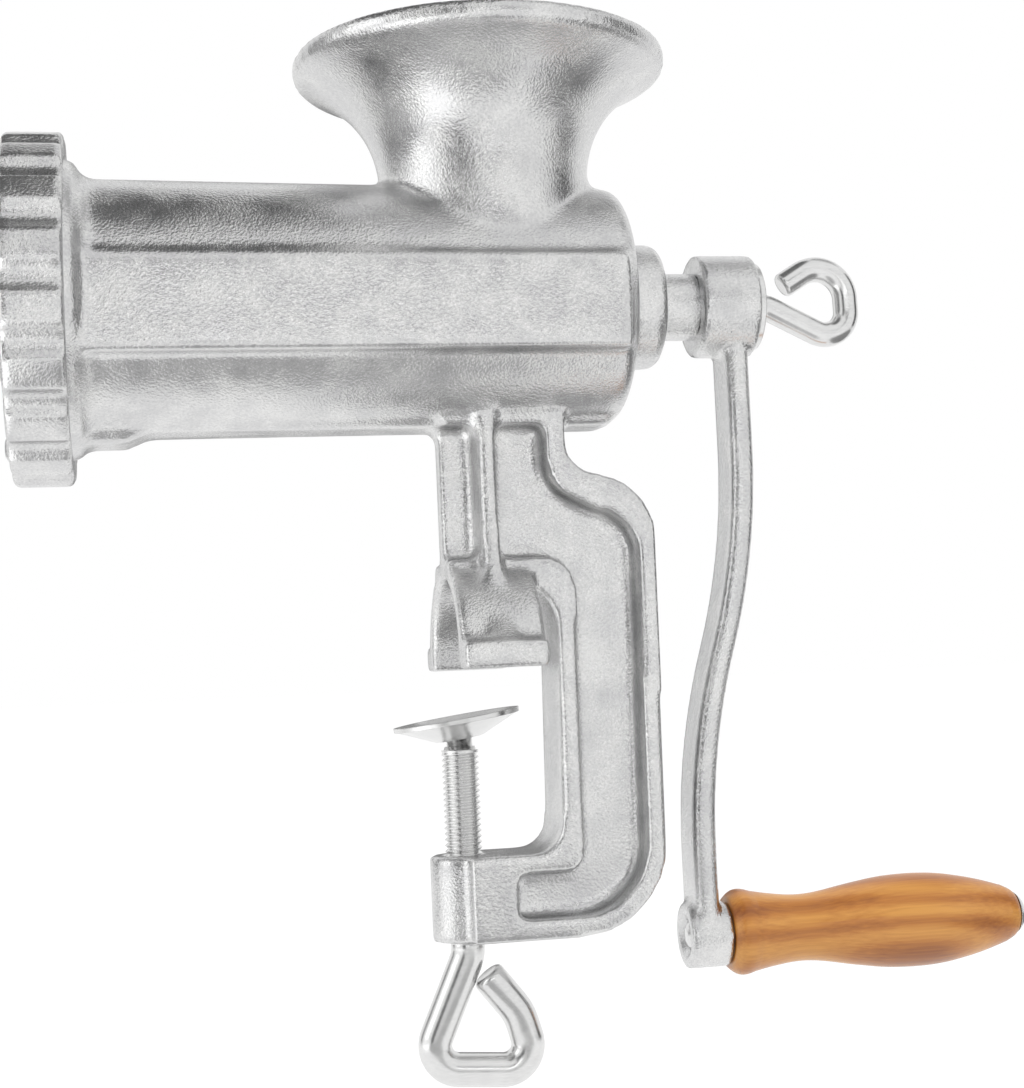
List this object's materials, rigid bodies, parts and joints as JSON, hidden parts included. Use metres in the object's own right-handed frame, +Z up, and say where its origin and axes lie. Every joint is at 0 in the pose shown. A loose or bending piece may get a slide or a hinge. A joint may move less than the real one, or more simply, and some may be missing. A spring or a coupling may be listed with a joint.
{
  "type": "hand crank meat grinder",
  "caption": "Table-clamp hand meat grinder: round hopper over a horizontal barrel with feed screw, knife, plate and lobed ring nut, C-frame screw clamp, and a crank with a turning wooden grip.",
  "frame": {"origin": "On the clamp screw's axis, in the plane of the table top that the two feet stand on.", "axes": "+Z up, +X along the barrel from the ring nut to the crank, +Y to the left of someone facing along +X."},
  "size_m": [0.2742, 0.102, 0.2777],
  "materials": {
    "tinned_casting": "bright tin plate over a fine sand-cast grain",
    "steel": "ground tool steel",
    "plated_steel": "smooth zinc plate",
    "fibre": "plain fibre washer",
    "varnished_wood": "glossy varnish over open grain"
  },
  "bodies": {
    "frame": {"body_casting": "tinned_casting", "plate_key": "steel", "thrust_washer": "fibre"},
    "plate": {"grinding_plate": "steel"},
    "ring": {"ring_nut": "tinned_casting"},
    "drive": {"feed_screw": "tinned_casting", "knife_stud": "steel", "cross_knife": "steel", "crank_arm": "tinned_casting", "handle_pin": "plated_steel"},
    "grip": {"handle_grip": "varnished_wood"},
    "lock_washer": {"crank_washer": "plated_steel"},
    "lock_screw": {"thumb_screw": "plated_steel"},
    "pad": {"clamp_pad": "plated_steel"},
    "screw": {"clamp_screw": "plated_steel"}
  },
  "joints": [
    {"name": "crank_turn", "type": "hinge", "parent": "frame", "child": "drive", "pos_m": [0, 0, 0.098], "axis": [1, 0, 0], "continuous": true},
    {"name": "grip_spin", "type": "hinge", "parent": "drive", "child": "grip", "pos_m": [0.1135, 0, -0.0745], "axis": [1, 0, 0], "continuous": true},
    {"name": "plate_slide", "type": "slide", "parent": "frame", "child": "plate", "axis": [-1, 0, 0], "range_m": [0, 0.0121]},
    {"name": "ring_turn", "type": "hinge", "parent": "plate", "child": "ring", "pos_m": [-0.106, 0, 0.098], "axis": [-1, 0, 0], "range_deg": [0, 1440]},
    {"name": "lock_slide", "type": "slide", "parent": "drive", "child": "lock_washer", "axis": [1, 0, 0], "range_m": [0, 0.0101]},
    {"name": "lock_turn", "type": "hinge", "parent": "lock_washer", "child": "lock_screw", "pos_m": [0.088, 0, 0.098], "axis": [1, 0, 0], "range_deg": [0, 3600]},
    {"name": "pad_slide", "type": "slide", "parent": "frame", "child": "pad", "axis": [0, 0, 1], "range_m": [-0.027, 0.0015]},
    {"name": "clamp_turn", "type": "hinge", "parent": "pad", "child": "screw", "pos_m": [0, 0, -0.06], "axis": [0, 0, 1], "range_deg": [-6490, 370]}
  ],
  "couplings": [
    {"joint": "plate_slide", "follows": "ring_turn", "m_per_rad": 0.00047746},
    {"joint": "lock_slide", "follows": "lock_turn", "m_per_rad": 0.00015915},
    {"joint": "clamp_turn", "follows": "pad_slide", "rad_per_m": 4188.8}
  ]
}
